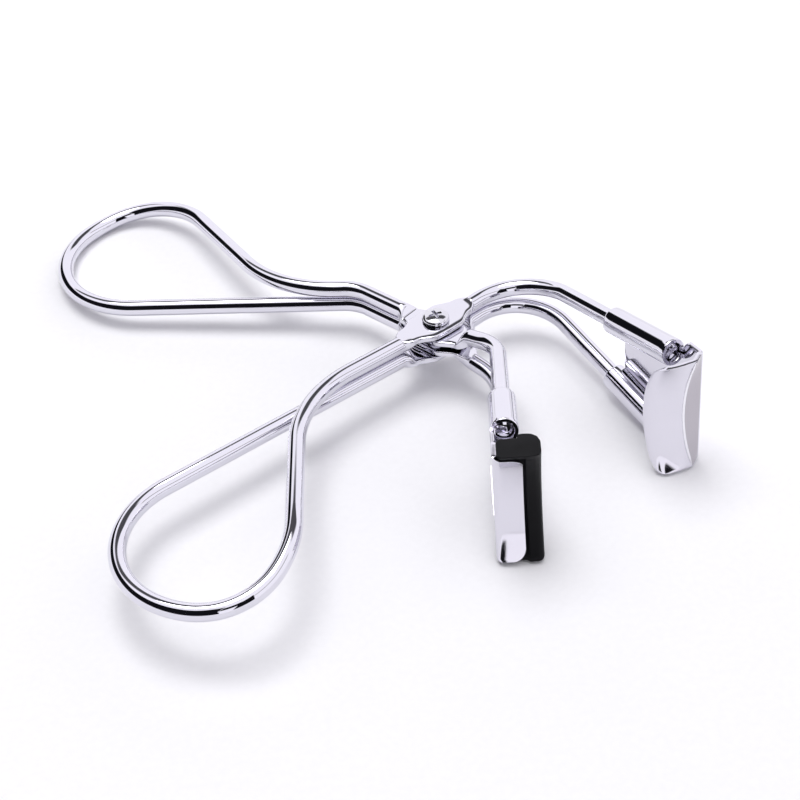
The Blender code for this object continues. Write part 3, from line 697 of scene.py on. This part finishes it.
def rubber(name):
    made, tree, shader = new_material(name)
    links = tree.links
    where = tree.nodes.new("ShaderNodeTexCoord")
    cloud = add(tree, "ShaderNodeTexNoise", Scale=260.0, Detail=5.0, Roughness=0.65)
    links.new(where.outputs["Object"], cloud.inputs["Vector"])
    dust = add(tree, "ShaderNodeTexVoronoi", Scale=330.0)
    links.new(where.outputs["Object"], dust.inputs["Vector"])
    specks = ramp(tree, dust.outputs["Distance"], [(0.035, (1, 1, 1)), (0.06, (0, 0, 0))])
    rare = add(tree, "ShaderNodeTexNoise", Scale=150.0, Detail=0.0)
    links.new(where.outputs["Object"], rare.inputs["Vector"])
    chosen = ramp(tree, rare.outputs["Fac"], [(0.60, (0, 0, 0)), (0.64, (1, 1, 1))])
    few = tree.nodes.new("ShaderNodeMath")
    few.operation = "MULTIPLY"
    links.new(specks.outputs["Color"], few.inputs[0])
    links.new(chosen.outputs["Color"], few.inputs[1])
    base = ramp(tree, cloud.outputs["Fac"], [(0.3, (0.0035, 0.0035, 0.0045)), (0.7, (0.0080, 0.0080, 0.0095))])
    mix = tree.nodes.new("ShaderNodeMix")
    mix.data_type = "RGBA"
    links.new(few.outputs["Value"], mix.inputs["Factor"])
    links.new(base.outputs["Color"], mix.inputs["A"])
    mix.inputs["B"].default_value = (0.35, 0.35, 0.35, 1.0)
    links.new(mix.outputs["Result"], shader.inputs["Base Color"])
    rough = tree.nodes.new("ShaderNodeMapRange")
    rough.inputs["From Min"].default_value = 0.3
    rough.inputs["From Max"].default_value = 0.7
    rough.inputs["To Min"].default_value = 0.42
    rough.inputs["To Max"].default_value = 0.6
    links.new(cloud.outputs["Fac"], rough.inputs["Value"])
    links.new(rough.outputs["Result"], shader.inputs["Roughness"])
    relief = tree.nodes.new("ShaderNodeBump")
    relief.inputs["Strength"].default_value = 0.35
    relief.inputs["Distance"].default_value = 0.00006
    links.new(cloud.outputs["Fac"], relief.inputs["Height"])
    links.new(relief.outputs["Normal"], shader.inputs["Normal"])
    shader.inputs["Specular IOR Level"].default_value = 0.11
    return made


POLISHED = chrome("polished_chrome_look", (0.745, 0.735, 0.80), 0.03, 0.065, 0.08, 60.0)
PRESSED = chrome("pressed_chrome_look", (0.735, 0.72, 0.785), 0.07, 0.12, 0.12, 90.0)
STEEL = chrome("screw_steel_look", (0.70, 0.695, 0.74), 0.06, 0.13, 0.15, 300.0)
# darker chrome tint for the cheek overlay: painted shade, standing in for the facet's darker reflection
CHEEK_PAINTED_SHADE = chrome("cheek_painted_shade_chrome_look", (0.50, 0.475, 0.51), 0.12, 0.2, 0.12, 90.0)
# lighter chrome tint for the crease bead: a painted highlight along the crease
CREASE_PAINTED_HIGHLIGHT = chrome("crease_painted_highlight_look", (0.88, 0.87, 0.91), 0.10, 0.16, 0.08, 90.0)
SILICONE = rubber("black_silicone_look")


def dress(obj, material, body, slot, *nodes):
    obj.data.materials.clear()
    obj.data.materials.append(material)
    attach(obj, body)
    if nodes:
        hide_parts(*nodes)
    return obj


# ---------------------------------------------------------------- the pieces
def bore(z0, z1, r=HOLE_R):
    turns = [2 * math.pi * k / 48 for k in range(48)]
    return mesh_object("bore", *skin([[(r * math.cos(t), r * math.sin(t), z) for t in turns] for z in (z0, z1)]), hidden=True)


counter_wire = wire("counter_lever_wire", wire_path(COUNTER_HANDLE_DEG, 0.0, 1, COUNTER_PLATE_DEG, 0.0, COUNTER, COUNTER_BEND_R, OUTER_PLATE_Z))
cut(counter_wire, bore(-7, 7))
dress(counter_wire, POLISHED, "counter_lever", "polished_chrome", "counter_handle_wire")
pad_wire = wire("pad_lever_wire", wire_path(PAD_HANDLE_DEG, PAD_HANDLE_OFFSET, -1, PAD_PLATE_DEG, PAD_NECK_R, PAD, PAD_BEND_R, INNER_PLATE_Z))
cut(pad_wire, bore(-7, 7))
dress(pad_wire, POLISHED, "pad_lever", "polished_chrome", "pad_handle_wire")

dress(counter_sheet(), PRESSED, "counter_lever", "jaw_chrome", "counter_jaw_plate")
# the cheek overlay carries the painted-shade chrome
dress(counter_cheek(), CHEEK_PAINTED_SHADE, "counter_lever", "jaw_chrome")
# the crease bead carries the painted-highlight chrome
dress(counter_crease(), CREASE_PAINTED_HIGHLIGHT, "counter_lever", "jaw_chrome")
dress(sleeve("counter_jaw_sleeve_upper", COUNTER, COUNTER_SLEEVE_START, 1), POLISHED, "counter_lever", "jaw_chrome")
dress(sleeve("counter_jaw_sleeve_lower", COUNTER, COUNTER_SLEEVE_START, -1), POLISHED, "counter_lever", "jaw_chrome")
dress(pad_sheet(), PRESSED, "pad_lever", "jaw_chrome", "pad_jaw_channel")
dress(pad_web(), PRESSED, "pad_lever", "jaw_chrome")
dress(sleeve("pad_jaw_sleeve_upper", PAD, PAD_SLEEVE_START, 1), POLISHED, "pad_lever", "jaw_chrome")
dress(sleeve("pad_jaw_sleeve_lower", PAD, PAD_SLEEVE_START, -1), POLISHED, "pad_lever", "jaw_chrome")
dress(silicone(), SILICONE, "pad_lever", "black_silicone", "silicone_pad")
dress(pad_seam(), SILICONE, "pad_lever", "black_silicone")

seat = OUTER_PLATE_Z + PLATE_T / 2 + SEAT_GAP
tail = seat + NUT_H
dome = [
    (HEAD_R - 0.1, seat), (HEAD_R, seat + 0.10), (HEAD_R, seat + 0.42), (HEAD_R - 0.03, seat + 0.52),
]
for k in range(1, 13):
    a = math.radians(90 * k / 13)
    dome.append(((HEAD_R - 0.05) * math.cos(a) ** 0.8, seat + 0.52 + (HEAD_H - 0.52) * math.sin(a)))
screw = lathe(
    "pivot_screw_fine",
    [(0, -tail), (SCREW_R - 0.25, -tail), (SCREW_R, -tail + 0.25), (SCREW_R, seat)] + dome + [(0, seat + HEAD_H)],
    72,
    sharp=35,
)
slots = []
for deg in (20.0, 110.0):
    d, w = unit(deg) * 1.5, unit(deg + 90) * 0.36
    low, high = seat + HEAD_H - 0.62, seat + HEAD_H + 1
    quad = [d + w, -d + w, -d - w, d - w]
    slots.append(mesh_object("slot", *skin([[(*map(float, q * (0.7 if z == low else 1.0)), z) for q in quad] for z in (low, high)]), hidden=True))
cut(screw, *slots)
screw.data.shade_smooth()
screw.data.set_sharp_from_angle(angle=math.radians(32))
dress(screw, STEEL, "counter_lever", "screw_steel", "pivot_screw")
nut = lathe(
    "pivot_nut_fine",
    [(HOLE_R, -seat), (HOLE_R, -tail + 0.12), (HOLE_R + 0.08, -tail + 0.03), (NUT_R * 0.66, -tail), (NUT_R * 0.84, -tail + 0.14), (NUT_R * 0.95, -tail + 0.34),
     (NUT_R, -tail + 0.62), (NUT_R, -seat - 0.08), (NUT_R - 0.08, -seat)],
    64, sharp=35,
)
dress(nut, STEEL, "counter_lever", "screw_steel", "pivot_nut")
spacer = lathe(
    "pivot_spacer_fine",
    [(HOLE_R, -0.33), (HOLE_R + 0.04, -0.36), (2.84, -0.36), (2.9, -0.3), (2.9, 0.3), (2.84, 0.36), (HOLE_R + 0.04, 0.36), (HOLE_R, 0.33)],
    64, sharp=35,
)
dress(spacer, STEEL, "pad_lever", "screw_steel", "pivot_spacer")


# ---------------------------------------------------------------- studio
floor_mesh = bpy.data.meshes.new("floor")
floor_mesh.from_pydata([(-3, -3, -0.00005), (3, -3, -0.00005), (3, 3, -0.00005), (-3, 3, -0.00005)], [], [(0, 1, 2, 3)])
floor = bpy.data.objects.new("floor", floor_mesh)
bpy.context.scene.collection.objects.link(floor)
paper, tree, shader = new_material("paper_floor")
grain = add(tree, "ShaderNodeTexNoise", Scale=900.0, Detail=3.0)
where = tree.nodes.new("ShaderNodeTexCoord")
tree.links.new(where.outputs["Object"], grain.inputs["Vector"])
tone = ramp(tree, grain.outputs["Fac"], [(0.3, (0.90, 0.90, 0.915)), (0.7, (0.92, 0.92, 0.935))])
tree.links.new(tone.outputs["Color"], shader.inputs["Base Color"])
shader.inputs["Roughness"].default_value = 0.9
shader.inputs["Specular IOR Level"].default_value = 0.1
floor_mesh.materials.append(paper)


def area(name, location, target, size, power, color=(1, 1, 1), size_y=None):
    light = bpy.data.lights.new(name, "AREA")
    light.shape = "RECTANGLE"
    light.size = size
    light.size_y = size_y or size
    light.energy = power
    light.color = color
    obj = bpy.data.objects.new(name, light)
    obj.location = location
    obj.rotation_euler = (Vector(target) - Vector(location)).to_track_quat("-Z", "Y").to_euler()
    bpy.context.scene.collection.objects.link(obj)
    return obj


def math_node(tree, operation, first, second=None, third=None):
    node = tree.nodes.new("ShaderNodeMath")
    node.operation = operation
    for slot, value in zip(node.inputs, (first, second, third)):
        if value is None:
            continue
        if isinstance(value, (int, float)):
            slot.default_value = value
        else:
            tree.links.new(value, slot)
    return node.outputs["Value"]


def soft_step(tree, value, low, high):
    node = tree.nodes.new("ShaderNodeMapRange")
    node.interpolation_type = "SMOOTHSTEP"
    tree.links.new(value, node.inputs["Value"])
    node.inputs["From Min"].default_value = low
    node.inputs["From Max"].default_value = high
    return node.outputs["Result"]


# white diffusers all round, with an unlit gap on the left and in front: its upper limit depends on the bearing
world = bpy.data.worlds.new("studio")
bpy.context.scene.world = world
world.use_nodes = True
wt = world.node_tree
background = wt.nodes["Background"]
toward = wt.nodes.new("ShaderNodeTexCoord")
split = wt.nodes.new("ShaderNodeSeparateXYZ")
wt.links.new(toward.outputs["Generated"], split.inputs["Vector"])
bearing = math_node(wt, "ARCTAN2", split.outputs["X"], math_node(wt, "MULTIPLY", split.outputs["Y"], -1.0))
bearing = math_node(wt, "MULTIPLY_ADD", bearing, 1 / (2 * math.pi), 0.5)
GAP = [(0.0, 0.0), (0.05, 0.0), (0.08, 0.50), (0.20, 0.66), (0.30, 0.88), (0.38, 0.93), (0.462, 0.90), (0.474, 0.42), (0.483, 0.40), (0.487, 0.0), (0.531, 0.0), (0.541, 0.80), (0.598, 0.86), (0.610, 0.0)]
top = ramp(wt, bearing, [(p, (v, v, v)) for p, v in GAP]).outputs["Color"]
above = math_node(wt, "SUBTRACT", top, split.outputs["Z"])
inside = math_node(wt, "MULTIPLY", soft_step(wt, above, 0.0, 0.05), soft_step(wt, split.outputs["Z"], 0.07, 0.13))
behind = math_node(wt, "ABSOLUTE", math_node(wt, "SUBTRACT", bearing, 0.5))     # 0.5 straight behind
back_gap = math_node(wt, "MULTIPLY", soft_step(wt, behind, 0.36, 0.40), soft_step(wt, split.outputs["Z"], 0.58, 0.62))
back_gap = math_node(wt, "MULTIPLY", back_gap, math_node(wt, "SUBTRACT", 1.0, soft_step(wt, split.outputs["Z"], 0.80, 0.84)))
inside = math_node(wt, "MAXIMUM", inside, math_node(wt, "MULTIPLY", back_gap, 0.93))
# the seam of the right-hand diffuser
seam = math_node(wt, "MULTIPLY", soft_step(wt, bearing, 0.595, 0.605), math_node(wt, "SUBTRACT", 1.0, soft_step(wt, bearing, 0.78, 0.80)))
height = math_node(wt, "ABSOLUTE", math_node(wt, "SUBTRACT", split.outputs["Z"], 0.69))
seam = math_node(wt, "MULTIPLY", seam, math_node(wt, "SUBTRACT", 1.0, soft_step(wt, height, 0.022, 0.04)))
inside = math_node(wt, "MAXIMUM", inside, math_node(wt, "MULTIPLY", seam, 0.8))
# over the camera the two gaps meet
front = math_node(wt, "ABSOLUTE", math_node(wt, "SUBTRACT", bearing, 0.508))
bridge = math_node(wt, "MULTIPLY", math_node(wt, "SUBTRACT", 1.0, soft_step(wt, front, 0.035, 0.042)), soft_step(wt, split.outputs["Z"], 0.52, 0.57))
bridge = math_node(wt, "MULTIPLY", bridge, math_node(wt, "SUBTRACT", 1.0, soft_step(wt, split.outputs["Z"], 0.78, 0.83)))
inside = math_node(wt, "MAXIMUM", inside, bridge)
shade = wt.nodes.new("ShaderNodeMix")
shade.data_type = "RGBA"
wt.links.new(inside, shade.inputs["Factor"])
shade.inputs["A"].default_value = (0.965, 0.95, 1.0, 1.0)
shade.inputs["B"].default_value = (0.006, 0.006, 0.008, 1.0)
wt.links.new(shade.outputs["Result"], background.inputs["Color"])
background.inputs["Strength"].default_value = 1.2

area("key_overhead", (-0.12, 0.24, 0.90), (0.0, 0.0, 0.0), 0.5, 4.0)
scene = bpy.context.scene
scene.view_settings.view_transform = "Standard"
scene.view_settings.look = "None"
scene.view_settings.exposure = 0.0

# ---------------------------------------------------------------- camera
R = np.array([
    [0.9954558796607861, -0.0602455752527411, -0.07374321874746721],
    [0.09522390271759759, 0.6297978805462733, 0.7709001478859967],
    [0.0, -0.7744192019325763, 0.632672821984722],
])
EYE = (-7.715651974366162, -247.45779269790367, 187.52818628612079)
local = Matrix(((R[0][0], R[1][0], R[2][0], 0), (R[0][1], R[1][1], R[2][1], 0), (R[0][2], R[1][2], R[2][2], 0), (0, 0, 0, 1)))
turn = (Matrix.Rotation(math.radians(TIP_Y), 4, "Y") @ Matrix.Rotation(math.radians(TIP_X), 4, "X") @ local)
camera_data = bpy.data.cameras.new("camera")
camera_data.sensor_width = 36.0
camera_data.lens = 1727.0 / 800.0 * 36.0
camera_data.clip_start = 0.01
camera_data.clip_end = 20.0
camera = bpy.data.objects.new("camera", camera_data)
bpy.context.scene.collection.objects.link(camera)
camera.matrix_world = Matrix.Translation(PLACE @ Vector(EYE)) @ turn
bpy.context.scene.camera = camera

bpy.context.view_layer.update()
